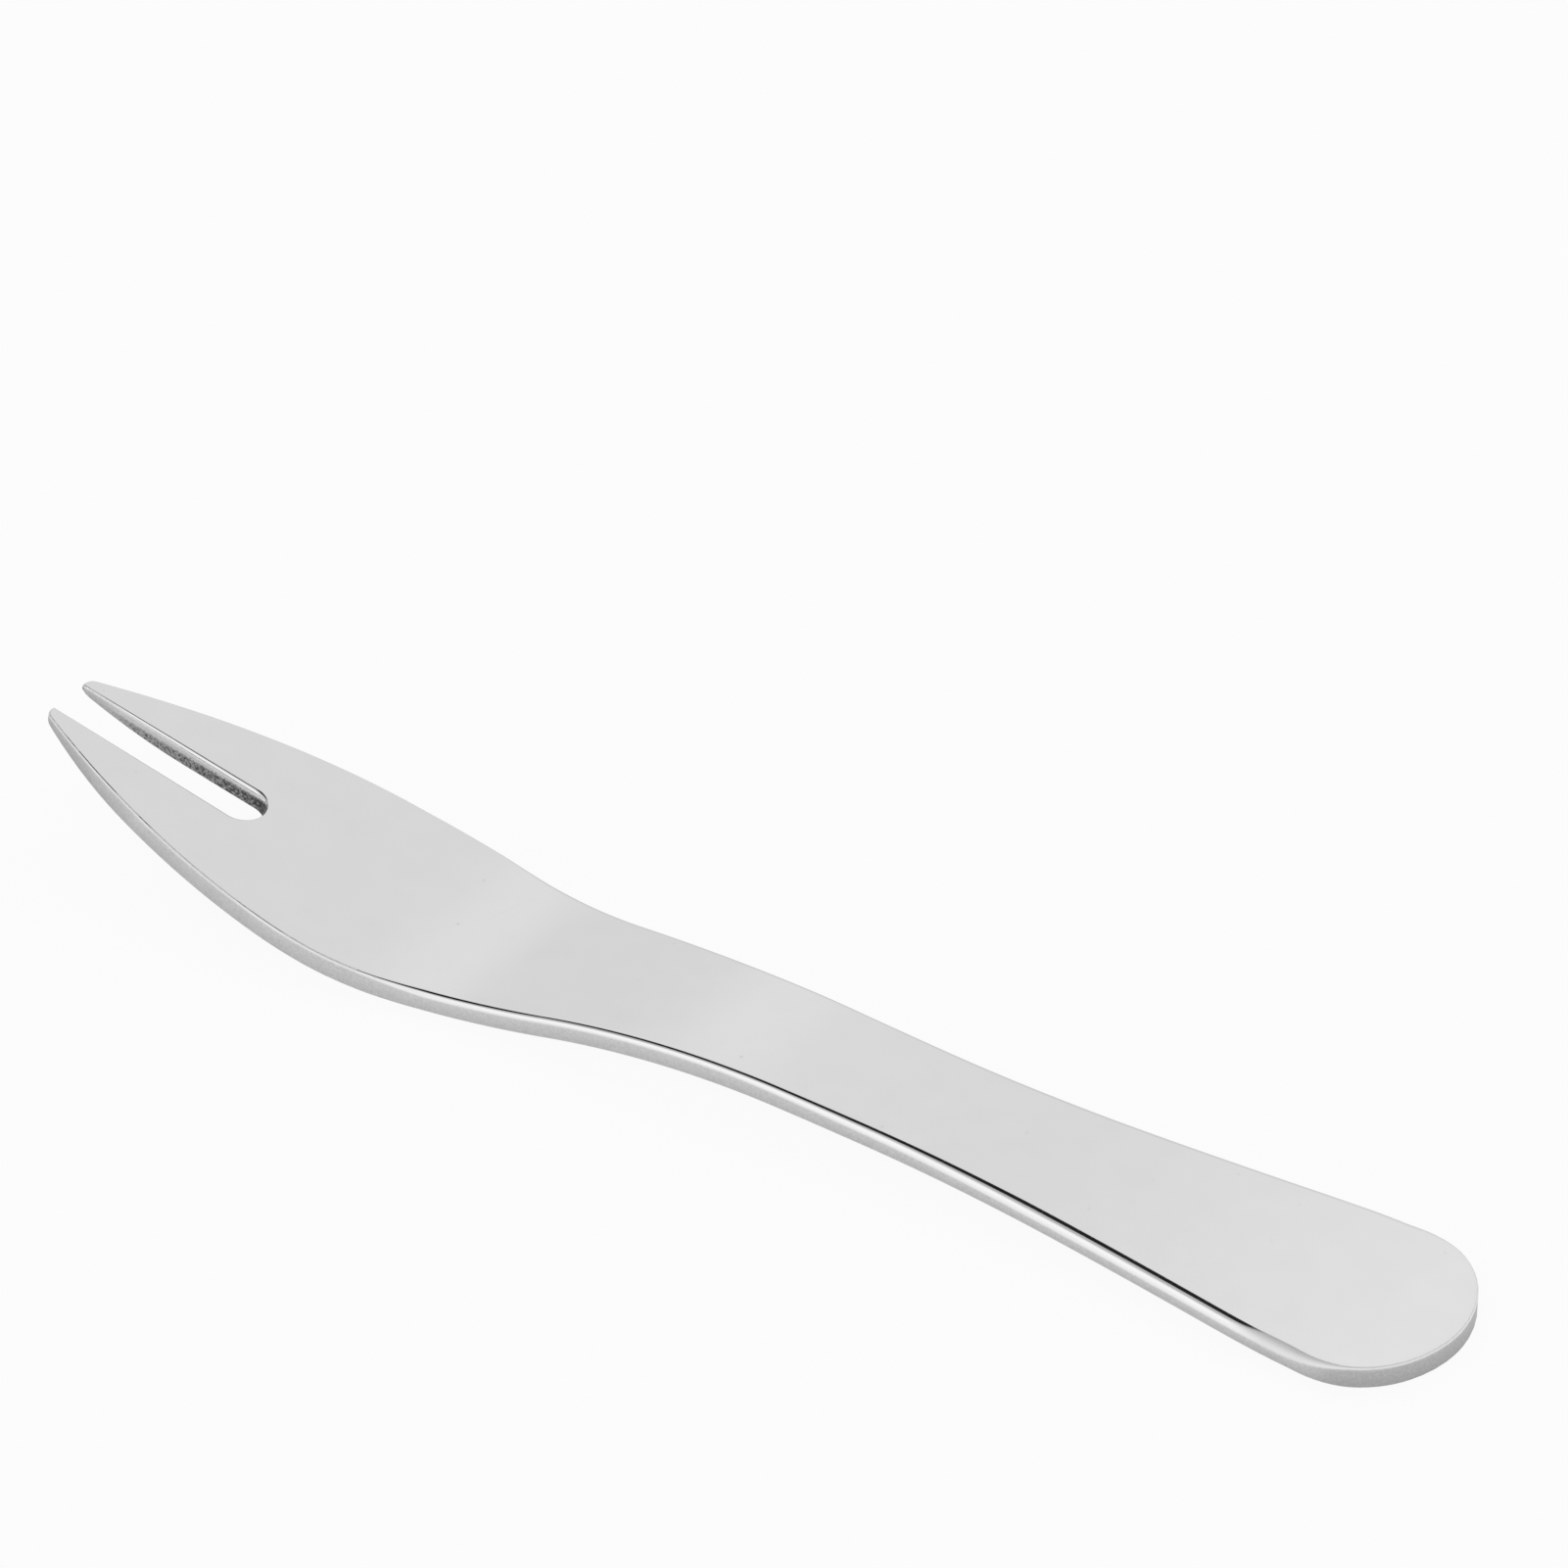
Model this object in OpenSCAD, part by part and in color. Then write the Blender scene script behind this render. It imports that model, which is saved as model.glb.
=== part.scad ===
// Pastry fork with two tines, made from one piece of stainless steel sheet: blanked to its
// outline, thinned towards the tips, rounded along every edge, then bent so that it rests
// on the heel of the handle and on the dish of the head. Lengths are in millimetres.

/* [Blank] */
// Length from the end of the handle to the tips of the tines
overall_length = 135; // [125:1:160]
// Thickness of the steel sheet
sheet = 2; // [1.5:0.1:2.5]
// Length over which the underside rises to thin the tines
thinning = 11; // [8:1:30]
// Thickness of each tip
tip_thickness = 0.8; // [0.4:0.05:1.2]

/* [Handle] */
// Width of the handle where it is widest
handle_width = 19.2; // [17:0.1:24]
// How much the radius of the end is larger than half of that width
end_flattening = 0.9; // [0.2:0.1:4]
// How much the radius of the two corners is smaller than half of that width
corner_inset = 1.1; // [0.3:0.1:6]
// Distance from the end to where the sides have come in and run at their taper
taper_at = 21; // [15:0.5:26]
// How far each side has come in at that place
taper_inset = 1.1; // [0.4:0.1:2]
// Angle of each side to the middle line at that place
taper_angle = 6.7; // [3:0.1:10]

/* [Neck] */
// Distance from the tips back to the neck, where the fork is narrowest
neck_back = 84.5; // [76:0.5:94]
// Width of the neck
neck_width = 12.5; // [9:0.1:16]

/* [Head] */
// Distance from the tips back to the shoulder, halfway between neck and head in width
shoulder_back = 48.2; // [42:0.1:58]
// Angle of each side to the middle line at the shoulder
shoulder_angle = 8.2; // [5:0.1:12]
// Distance from the tips back to where the head is widest
head_back = 31.8; // [26:0.1:36]
// Width of the head where it is widest
head_width = 20.7; // [18:0.1:24]

/* [Tines] */
// Depth of the slot between the tines
slot_length = 20.2; // [14:0.1:25]
// Width of the slot at its round end
slot_end_width = 3.8; // [2.4:0.1:4]
// Width of the slot at the tips
slot_mouth_width = 3.9; // [3:0.1:5]
// Radius of each tip, seen from above
tip_radius = 1; // [0.6:0.05:1.3]
// Distance from the slot to the foremost point of each tip
tip_inset = 0.35; // [0:0.05:0.55]
// Angle of the outer side of a tine to the middle line, at the tip
tip_angle = 23; // [18:1:30]

/* [Bends] */
// Length of the flat heel at the end of the handle
heel_flat = 5; // [4:0.5:12]
// Length of the bend that lifts the handle off the table
heel_run = 4; // [2:0.5:20]
// Distance from the tips back to the crown, the top of the arch
crown_back = 71.5; // [69:0.1:76]
// Height of the arch under the crown
crown_height = 2.3; // [0.5:0.1:6]
// Length of the crown's bend on the side of the handle
crown_run_handle = 4; // [2:0.5:10]
// Length of the crown's bend on the side of the head
crown_run_head = 19.5; // [10:0.5:21]
// Distance from the tips back to the bottom of the dish, which touches the table
dish_back = 45.9; // [42:0.1:48]
// Length of the dish's bend on the side of the neck
dish_run_neck = 3.5; // [2:0.5:5]
// Length of the dish's bend on the side of the tines
dish_run_tines = 22; // [10:0.5:30]
// Height that the tines gain between the dish and their tips
tip_rise = 7.6; // [3:0.1:14]

/* [Edges] */
// Rounding of the edge at the end of the handle
edge_end = 0.2; // [0.1:0.05:0.7]
// Rounding of the edge along the handle
edge_handle = 0.85; // [0.3:0.05:0.95]
// Rounding of the edge along the neck and the shoulder
edge_neck = 0.45; // [0.2:0.05:0.7]
// Rounding of the edge at the tips of the tines
edge_tip = 0.18; // [0.08:0.02:0.3]
// Rounding of the lower edges, as a share of the rounding of the upper ones
under_share = 0.6; // [0.2:0.1:1]
// Distance from the end of the handle to where the rounding of its end stops
edge_end_to = 5; // [2:0.5:8]
// Distance from the end of the handle to where its full rounding begins
edge_from = 10; // [9:0.5:24]
// Distance from the crown back to where the full rounding of the handle ends
edge_fade = 28; // [10:1:36]

/* [Hidden] */

// Facets: the end arc, the corner arc, the side, the side of a tine, the end of the slot,
// half a tip, and the rounding of an edge
end_steps = 7;
corner_steps = 7;
side_steps = 62;
tine_steps = 20;
slot_end_steps = 7;
tip_steps = 4;
edge_steps = 4;

// Places along the fork, as distances from the end of the handle
neck_at = overall_length - neck_back;
shoulder_at = overall_length - shoulder_back;
head_at = overall_length - head_back;
slot_at = overall_length - slot_length;
crown_at = overall_length - crown_back;
dish_at = overall_length - dish_back;

// The end arc turns into the corner arc where both share a normal, at this angle
end_radius = handle_width / 2 + end_flattening;
corner_radius = handle_width / 2 - corner_inset;
corner_turn = asin(corner_inset / (end_flattening + corner_inset));
corner_centre = [
    end_radius - (end_flattening + corner_inset) * cos(corner_turn),
    corner_inset
];
slot_end_radius = slot_end_width / 2;
tip_centre = [overall_length - tip_radius, slot_mouth_width / 2 + tip_inset];
tip_turn = 90 - tip_angle;
// The tip's arc meets the side of the slot in a corner, at this angle
tip_corner = asin(tip_inset / tip_radius);
slot_side_from = tip_centre[0] + tip_radius * cos(tip_corner);
slot_side_to = slot_at + slot_end_radius;

// Stations of one side: distance from the end, half width and slope
side_stations = [
    [corner_centre[0], handle_width / 2, 0],
    [taper_at, handle_width / 2 - taper_inset, -tan(taper_angle)],
    [neck_at, neck_width / 2, 0],
    [shoulder_at, (neck_width + head_width) / 4, tan(shoulder_angle)],
    [head_at, head_width / 2, 0],
    [
        tip_centre[0] + tip_radius * cos(tip_turn),
        tip_centre[1] + tip_radius * sin(tip_turn),
        -tan(tip_angle)
    ]
];
side_from = side_stations[0][0];
side_to = side_stations[5][0];

// Rounding of the edge along the fork, straight between these stations
edge_stations = [
    [edge_end_to, edge_end],
    [edge_from, edge_handle],
    [crown_at - edge_fade, edge_handle],
    [crown_at, edge_neck],
    [shoulder_at, edge_neck],
    [overall_length, edge_tip]
];
// The rounding stays under this share of the thickness
edge_share = 0.46;

// Bends of the sheet: where each begins and ends, the height gained, and the lengths over
// which its slope grows and fades
bends = [
    [heel_flat, crown_at, crown_height, heel_run, crown_run_handle],
    [crown_at, dish_at, -crown_height, crown_run_head, dish_run_neck],
    [dish_at, overall_length, tip_rise, dish_run_tines, 0]
];

// Slope of a bend between its two runs
function bend_grade(b) = b[2] / (b[1] - b[0] - (b[3] + b[4]) / 2);

// Height that one bend has gained at distance u
function bend_height(b, u) =
    let (at = min(max(u, b[0]), b[1]))
    at < b[0] + b[3] ? bend_grade(b) * (at - b[0]) ^ 2 / (2 * b[3])
    : at > b[1] - b[4] ? b[2] - bend_grade(b) * (b[1] - at) ^ 2 / (2 * b[4])
    : bend_grade(b) * (at - b[0] - b[3] / 2);

// Slope of one bend at distance u
function bend_slope(b, u) =
    u < b[0] || u > b[1] && b[4] > 0 ? 0
    : u < b[0] + b[3] ? bend_grade(b) * (u - b[0]) / b[3]
    : u > b[1] - b[4] && b[4] > 0 ? bend_grade(b) * (b[1] - u) / b[4]
    : bend_grade(b);

// Sum of a list of numbers
function total(v, i = 0) = i < len(v) ? v[i] + total(v, i + 1) : 0;

// Height of the upper side of the sheet above the table, and its tilt
function height(u) = sheet + total([for (b = bends) bend_height(b, u)]);
function tilt(u) = atan(total([for (b = bends) bend_slope(b, u)]));

// Thickness of the sheet, which thins along the tines
function thickness(u) =
    sheet - (sheet - tip_thickness) * max(0, 1 + (u - overall_length) / thinning) ^ 2;

// Rounding of the edge at distance u
function edge(u) = min(lookup(u, edge_stations), edge_share * thickness(u));

// Smooth curve from station a to station b, with the slope of each
function ease(a, b, u) =
    let (run = b[0] - a[0], s = (u - a[0]) / run)
    a[1] * (1 + 2 * s) * (1 - s) ^ 2 + b[1] * (3 - 2 * s) * s ^ 2
    + run * (a[2] * s * (1 - s) ^ 2 - b[2] * (1 - s) * s ^ 2);

// Half the width of the blank at distance u
function half_width(u, i = 0) =
    i + 2 == len(side_stations) || u <= side_stations[i + 1][0]
    ? ease(side_stations[i], side_stations[i + 1], u)
    : half_width(u, i + 1);

function arc_point(centre, radius, turn) = centre + radius * [cos(turn), sin(turn)];
function mirrored(p) = [p[0], -p[1]];
function square_to(v) = [v[1], -v[0]] / norm(v);

// Half of the outline, from the end of the handle to the bottom of the slot
half_outline = [
    for (i = [0 : end_steps - 1])
        arc_point([end_radius, 0], end_radius, 180 - corner_turn * i / end_steps),
    for (i = [0 : corner_steps - 1])
        arc_point(
            corner_centre,
            corner_radius,
            180 - corner_turn - (90 - corner_turn) * i / corner_steps
        ),
    for (i = [0 : side_steps - 1])
        let (u = side_from + (slot_at - side_from) * i / side_steps) [u, half_width(u)],
    for (i = [0 : tine_steps - 1])
        let (u = slot_at + (side_to - slot_at) * i / tine_steps) [u, half_width(u)],
    for (i = [0 : 2 * tip_steps])
        arc_point(tip_centre, tip_radius, tip_turn - (tip_turn + tip_corner) * i / (2 * tip_steps)),
    for (i = [1 : tine_steps - slot_end_steps])
        let (share = i / (tine_steps - slot_end_steps))
        [
            slot_side_from + (slot_side_to - slot_side_from) * share,
            slot_mouth_width / 2 + (slot_end_radius - slot_mouth_width / 2) * share
        ],
    for (i = [1 : slot_end_steps])
        arc_point([slot_side_to, 0], slot_end_radius, 90 + 90 * i / slot_end_steps)
];

// Places in the half outline: abreast of the bottom of the slot, and the bottom itself
abreast = end_steps + corner_steps + side_steps;
bottom = len(half_outline) - 1;
tine_count = (bottom - abreast) / 2;

// The whole outline, and how many points it has
outline = [
    each half_outline,
    for (i = [bottom - 1 : -1 : 1]) mirrored(half_outline[i])
];
count = len(outline);

// Way into the steel from each point of the outline, mitred between the two sides beside it
inward = [
    for (i = [0 : count - 1])
        let (
            before = square_to(outline[i] - outline[(i + count - 1) % count]),
            after = square_to(outline[(i + 1) % count] - outline[i])
        )
        (before + after) / (1 + before * after)
];

// Section of an edge from the underside up: inset from the outline as a share of the
// rounding, and depth as a share of the thickness and a share of the rounding
edge_section = [
    for (i = [0 : edge_steps])
        let (turn = 90 * i / edge_steps)
        [under_share * (1 - sin(turn)), 1, under_share * (cos(turn) - 1)],
    for (i = [0 : edge_steps])
        let (turn = 90 * i / edge_steps) [1 - cos(turn), 0, 1 - sin(turn)]
];
rings = len(edge_section);

// A point of the blank, at a depth below the upper side of the sheet, on the bent fork
function bent(p, depth) =
    let (turn = tilt(p[0]))
    [
        overall_length / 2 - p[0] - depth * sin(turn),
        p[1],
        height(p[0]) - depth * cos(turn)
    ];

// A point of one ring of the edge
function ring_point(section, i) =
    let (
        rounding = edge(outline[i][0]),
        p = outline[i] + inward[i] * rounding * section[0]
    )
    bent(p, thickness(p[0]) * section[1] + rounding * section[2]);

// Triangles of one face of the fork, zipped between its two sides and along each tine
function opposite(i) = (count - i) % count;
function zip(a, b, c, d) = [[a, b, c], [a, c, d]];
face = [
    [0, 1, opposite(1)],
    for (i = [1 : abreast - 2]) each zip(i, i + 1, opposite(i + 1), opposite(i)),
    [abreast - 1, abreast, bottom],
    [abreast - 1, bottom, opposite(abreast - 1)],
    [opposite(abreast - 1), bottom, opposite(abreast)],
    for (i = [0 : tine_count - 2])
        each zip(abreast + i, abreast + i + 1, bottom - i - 1, bottom - i),
    for (i = [0 : tine_count - 2])
        each zip(
            opposite(bottom - i),
            opposite(bottom - i - 1),
            opposite(abreast + i + 1),
            opposite(abreast + i)
        ),
    let (i = tine_count - 1) [abreast + i, abreast + i + 1, bottom - i],
    let (i = tine_count - 1)
        [opposite(bottom - i), opposite(abreast + i + 1), opposite(abreast + i)]
];

function turned(t) = [t[2], t[1], t[0]];
function raised(t, ring) = [for (i = t) i + ring * count];

module fork() {
    color("silver")
        polyhedron(
            points = [
                for (section = edge_section)
                    for (i = [0 : count - 1]) ring_point(section, i)
            ],
            faces = [
                for (t = face) t,
                for (t = face) raised(turned(t), rings - 1),
                for (ring = [0 : rings - 2])
                    for (i = [0 : count - 1])
                        let (next = (i + 1) % count)
                        each zip(
                            ring * count + i,
                            (ring + 1) * count + i,
                            (ring + 1) * count + next,
                            ring * count + next
                        )
            ]
        );
}

fork();
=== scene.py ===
"""Looks of a pastry fork with two tines, stamped from one piece of stainless steel sheet.

The fork is built as its maker builds it: a flat blank, rounded along its rim, thinned
towards the tips and then bent. Sizes are in millimetres until the mesh is finished.
"""

import logging
import math
from dataclasses import dataclass, field
from enum import Enum

import bmesh
import bpy
from mathutils import Matrix, Vector


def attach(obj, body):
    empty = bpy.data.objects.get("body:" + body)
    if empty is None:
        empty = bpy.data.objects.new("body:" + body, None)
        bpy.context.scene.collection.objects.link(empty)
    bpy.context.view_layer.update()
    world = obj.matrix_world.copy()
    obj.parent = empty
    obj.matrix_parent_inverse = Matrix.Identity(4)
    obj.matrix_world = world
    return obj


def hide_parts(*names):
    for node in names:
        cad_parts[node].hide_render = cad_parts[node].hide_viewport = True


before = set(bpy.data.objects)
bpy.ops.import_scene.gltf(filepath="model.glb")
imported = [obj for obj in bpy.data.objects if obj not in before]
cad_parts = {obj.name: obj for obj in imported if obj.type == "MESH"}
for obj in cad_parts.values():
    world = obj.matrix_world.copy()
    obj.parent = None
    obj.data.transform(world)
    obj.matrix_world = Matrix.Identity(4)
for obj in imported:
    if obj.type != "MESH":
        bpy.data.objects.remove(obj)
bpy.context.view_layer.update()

LOG = logging.getLogger("pastry_fork")

MM = 0.001
PHOTO_SIDE = 1601
SENSOR = 36.0
WHITE = "#FFFFFF"

# How far round an edge its wall starts, from 0 on the upper face to 1 at the bottom.
WALL_FROM = 0.4

# A noise pattern lies almost wholly between these values.
NOISE_LOW = 0.3
NOISE_HIGH = 0.7

# Settings that several nodes share. The inputs of a Mix node go by number: 0 is the share,
# 2 and 3 are its two values, and 6 and 7 its two colours.
SMOOTH = {"interpolation_type": "SMOOTHSTEP"}
VALUES = {"data_type": "FLOAT"}
COLOURS = {"data_type": "RGBA"}
TINT = {"data_type": "RGBA", "blend_type": "MULTIPLY"}
TIMES = {"operation": "MULTIPLY"}
TIMES_PLUS = {"operation": "MULTIPLY_ADD"}
GREATER = {"operation": "MAXIMUM"}

Tree = bpy.types.NodeTree
Socket = bpy.types.NodeSocket


def srgb(code: str) -> tuple[float, float, float, float]:
    """Turn an sRGB hex colour into a linear one.

    Args:
        code: Colour such as "#D9D9DA".

    Returns:
        Linear red, green, blue and an alpha of 1.
    """
    parts = [int(code[i:i + 2], 16) / 255 for i in (1, 3, 5)]
    linear = [p / 12.92 if p <= 0.04045 else ((p + 0.055) / 1.055) ** 2.4 for p in parts]
    return (*linear, 1.0)


def add_node(
    tree: Tree,
    kind: str,
    settings: dict[str, object] | None = None,
    inputs: dict[str | int, object] | None = None,
) -> bpy.types.Node:
    """Add a node, with its settings, and the values or links of its inputs.

    Args:
        tree: Node tree that takes the node.
        kind: Type of the node.
        settings: Properties of the node by name.
        inputs: Value of each input, or the output that it is linked to.

    Returns:
        The new node.
    """
    node = tree.nodes.new(kind)
    for name, value in (settings or {}).items():
        setattr(node, name, value)
    for name, value in (inputs or {}).items():
        if isinstance(value, Socket):
            tree.links.new(value, node.inputs[name])
        else:
            node.inputs[name].default_value = value
    return node


class Face(Enum):
    """The two broad faces of the sheet."""

    UPPER = "upper"
    LOWER = "lower"


@dataclass(frozen=True)
class RimPoint:
    """A place on the rim of the blank, and the way from there into the steel.

    Its roll is how much more its upper edge is rounded than the long sides are there. Its
    tear is 1 or more where the punch tore the wall most, and 0 where the wall is smooth.
    """

    at: Vector
    inward: Vector
    roll: float = 1.0
    tear: float = 0.0

    def inset(self, by: float) -> Vector:
        """Return the place that lies inside the rim by a distance."""
        return self.at + self.inward * by


Rims = dict[bmesh.types.BMVert, RimPoint]


@dataclass(frozen=True)
class SteelMarks:
    """Outputs of the steel's node tree that its colour, gloss and relief share.

    Place holds the Object coordinates, along is the place along the fork, edge is how far
    round an edge the surface lies and tear is how much the punch tore it. Haze and grain
    are patterns. The others are masks: outside the slot, unpolished, brushed to a satin,
    on a wall, how far down the wall, torn, and the light specks of the torn grain.
    """

    place: Socket
    along: Socket
    edge: Socket
    tear: Socket
    haze: Socket
    grain: Socket
    outside: Socket
    unpolished: Socket
    brushed: Socket
    wall: Socket
    down: Socket
    torn: Socket
    speck: Socket


@dataclass(frozen=True)
class PolishedStainless:
    """Austenitic stainless steel, tumbled bright, with sheared grain left inside the slot.

    Tumbling leaves a mirror with a little haze, fine hairlines in every direction and a few
    nicks, so it shows a soft picture of the light around it. The rolled edges rub most and
    are the clearest part, but for the end of the handle and patches along the head, which
    stay satin. Their colour is lightened into a painted highlight, and the face is painted
    a little lighter towards the end of the handle. The walls of the sheet keep a satin grain
    from the blanking die, and carry painted shade: darker than the faces, darker still
    towards the table, and at the end of the handle, the tips and the slot. The punch leaves
    the wall of the slot smooth at the top and torn further down, most of all at its round
    end, where painted shade darkens its torn grain.
    """

    name: str = "polished_stainless_steel"
    colour: str = "#D6D6D6"
    # Painted light: the face is painted lighter towards the end of the handle.
    heel_painted_light: str = "#DFDFDF"
    # Painted highlight on the roll of the edges.
    roll_highlight_colour: str = "#F2F2F2"
    # Painted shade: the walls are darker than the faces, and darker still towards the table.
    wall_top_shade_colour: str = "#CBCBCB"
    wall_foot_shade_colour: str = "#B9B9B9"
    # Painted shade on the walls at the end of the handle, the tips and the slot.
    wall_shade_tint: str = "#E9E9E9"
    torn_colour: str = "#A2A2A2"
    torn_dark: str = "#3A3A3A"

    # Places along the fork, from its middle towards the end of the handle.
    # Painted light: the face lightens between the first two of these places.
    heel_from: float = 25.0
    heel_to: float = 65.0
    satin_heel_from: float = 51.0
    satin_heel_to: float = 55.5
    satin_head_from: float = -26.0
    satin_head_to: float = -31.0
    # Where the walls are painted with shade: at the end of the handle and at the tips.
    shade_end_from: float = 59.0
    shade_end_to: float = 62.0
    shade_tip_from: float = -54.0
    shade_tip_to: float = -63.0
    shade_tip_share: float = 0.7

    # Places round an edge, from the upper face down.
    mirror_by: float = 0.08
    # The next two place the painted highlight round the edge.
    highlight_from: float = 0.08
    highlight_to: float = 0.28
    satin_from: float = 0.16
    satin_run: float = 0.16
    wall_from: float = 0.32
    wall_to: float = 0.48

    roughness: float = 0.16
    haze: float = 0.04
    roll_roughness: float = 0.07
    satin_roll_roughness: float = 0.75
    wall_roughness: float = 0.32
    satin_wall_roughness: float = 0.5
    torn_roughness: float = 0.42

    haze_size: float = 3.0
    cloud: float = 0.012
    wall_grain: float = 0.08

    # Along the head the roll is at least half satin, and wholly so in patches of haze.
    patch_from: float = 0.4
    patch_to: float = 0.5
    patch_least: float = 0.5

    # A real hairline is under ten microns wide: these are drawn about ten times coarser,
    # to show.
    hairline_width: float = 0.08
    hairline_length: float = 9.0
    hairline_depth: float = 0.0012
    hairline_turns: tuple[float, ...] = (12.0, -47.0, 71.0)
    hairline_from: float = 0.68
    hairline_to: float = 0.8
    nick_spacing: float = 6.0
    nick_size: float = 0.4
    nick_depth: float = 0.035
    nick_share: float = 0.4

    # The wall of the slot: its torn grain, and where that starts and how light it is.
    torn_grain: float = 0.22
    torn_depth: float = 0.05
    in_slot_from: float = 0.05
    in_slot_to: float = 0.3
    ragged_by: float = 0.55
    raised_by: float = 0.45
    torn_from: float = 0.85
    torn_to: float = 0.95
    # Painted shade: how much darker the torn grain is where the tear is strongest, at the round
    # end of the slot.
    torn_end_shade: float = 0.3
    speck_from: float = 0.12
    speck_to: float = 0.48

    def material(self) -> bpy.types.Material:
        """Make the material.

        Returns:
            The material, with its patterns on Object coordinates and on the attributes
            that say how far round an edge the surface lies and how much it is torn.
        """
        steel = bpy.data.materials.new(self.name)
        steel.use_nodes = True
        tree = steel.node_tree
        tree.nodes.clear()
        marks = self._marks(tree)
        shader = add_node(tree, "ShaderNodeBsdfPrincipled", None, {
            "Base Color": self._tone(tree, marks),
            "Metallic": 1.0,
            "Roughness": self._gloss(tree, marks),
            "Normal": self._relief(tree, marks),
        })
        add_node(tree, "ShaderNodeOutputMaterial", None, {"Surface": shader.outputs[0]})
        return steel

    def _marks(self, tree: Tree) -> SteelMarks:
        """Lay out the patterns, and tell the parts of the surface apart.

        Args:
            tree: Node tree of the material.

        Returns:
            The outputs that the colour, the gloss and the relief share.
        """
        place = add_node(tree, "ShaderNodeTexCoord").outputs["Object"]
        along = add_node(tree, "ShaderNodeSeparateXYZ", None, {0: place}).outputs["X"]
        edge = add_node(tree, "ShaderNodeAttribute", {"attribute_name": "edge"}).outputs["Fac"]
        tear = add_node(tree, "ShaderNodeAttribute", {"attribute_name": "tear"}).outputs["Fac"]
        haze = add_node(tree, "ShaderNodeTexNoise", None, {
            "Vector": place, "Scale": 1 / (self.haze_size * MM), "Detail": 4.0,
        }).outputs[0]
        grain = add_node(tree, "ShaderNodeTexNoise", None, {
            "Vector": place, "Scale": 1 / (self.torn_grain * MM), "Detail": 2.0,
        }).outputs[0]
        in_slot = add_node(tree, "ShaderNodeMapRange", None, {
            "Value": tear, "From Min": self.in_slot_from, "From Max": self.in_slot_to,
        }).outputs[0]
        outside = add_node(tree, "ShaderNodeMath", {"operation": "SUBTRACT"}, {
            0: 1.0, 1: in_slot,
        }).outputs[0]

        # The roll turns satin before it meets the wall, and at once where it is unpolished.
        unpolished = self._unpolished(tree, along, haze, outside)
        satin_from = add_node(tree, "ShaderNodeMix", VALUES, {
            0: unpolished, 2: self.satin_from, 3: 0.0,
        }).outputs[0]
        satin_to = add_node(tree, "ShaderNodeMath", {"operation": "ADD"}, {
            0: satin_from, 1: self.satin_run,
        }).outputs[0]
        brushed = add_node(tree, "ShaderNodeMapRange", SMOOTH, {
            "Value": edge, "From Min": satin_from, "From Max": satin_to,
        }).outputs[0]
        wall = add_node(tree, "ShaderNodeMapRange", SMOOTH, {
            "Value": edge, "From Min": self.wall_from, "From Max": self.wall_to,
        }).outputs[0]
        down = add_node(tree, "ShaderNodeMapRange", None, {
            "Value": edge, "From Min": WALL_FROM,
        }).outputs[0]

        # The wall is torn below a ragged line, which lies lower where the tear is weaker.
        ragged = add_node(tree, "ShaderNodeMath", TIMES_PLUS, {
            0: grain, 1: self.ragged_by, 2: down,
        }).outputs[0]
        ragged = add_node(tree, "ShaderNodeMath", TIMES_PLUS, {
            0: tear, 1: self.raised_by, 2: ragged,
        }).outputs[0]
        torn = add_node(tree, "ShaderNodeMapRange", SMOOTH, {
            "Value": ragged, "From Min": self.torn_from, "From Max": self.torn_to,
        }).outputs[0]
        for part in (in_slot, brushed):
            torn = add_node(tree, "ShaderNodeMath", TIMES, {0: torn, 1: part}).outputs[0]
        # The torn grain has light specks at random, and fewer where painted shade darkens the
        # round end of the slot.
        light = add_node(tree, "ShaderNodeMath", TIMES_PLUS, {
            0: tear, 1: -self.torn_end_shade, 2: grain,
        }).outputs[0]
        speck = add_node(tree, "ShaderNodeMapRange", None, {
            "Value": light, "From Min": self.speck_from, "From Max": self.speck_to,
        }).outputs[0]
        return SteelMarks(
            place=place, along=along, edge=edge, tear=tear, haze=haze, grain=grain,
            outside=outside, unpolished=unpolished, brushed=brushed, wall=wall, down=down,
            torn=torn, speck=speck,
        )

    def _unpolished(self, tree: Tree, along: Socket, haze: Socket, outside: Socket) -> Socket:
        """Find where the roll of an edge was left satin.

        Args:
            tree: Node tree of the material.
            along: Place along the fork.
            haze: Pattern of the haze.
            outside: 1 outside the slot and 0 inside it.

        Returns:
            1 at the end of the handle and in patches along the head, and 0 elsewhere.
        """
        heel = add_node(tree, "ShaderNodeMapRange", SMOOTH, {
            "Value": along,
            "From Min": self.satin_heel_from * MM, "From Max": self.satin_heel_to * MM,
        }).outputs[0]
        head = add_node(tree, "ShaderNodeMapRange", SMOOTH, {
            "Value": along,
            "From Min": self.satin_head_from * MM, "From Max": self.satin_head_to * MM,
        }).outputs[0]
        head = add_node(tree, "ShaderNodeMath", TIMES, {0: head, 1: outside}).outputs[0]
        patch = add_node(tree, "ShaderNodeMapRange", None, {
            "Value": haze, "From Min": self.patch_from, "From Max": self.patch_to,
            "To Min": self.patch_least,
        }).outputs[0]
        return add_node(tree, "ShaderNodeMath", TIMES_PLUS, {
            0: head, 1: patch, 2: heel,
        }).outputs[0]

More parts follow.
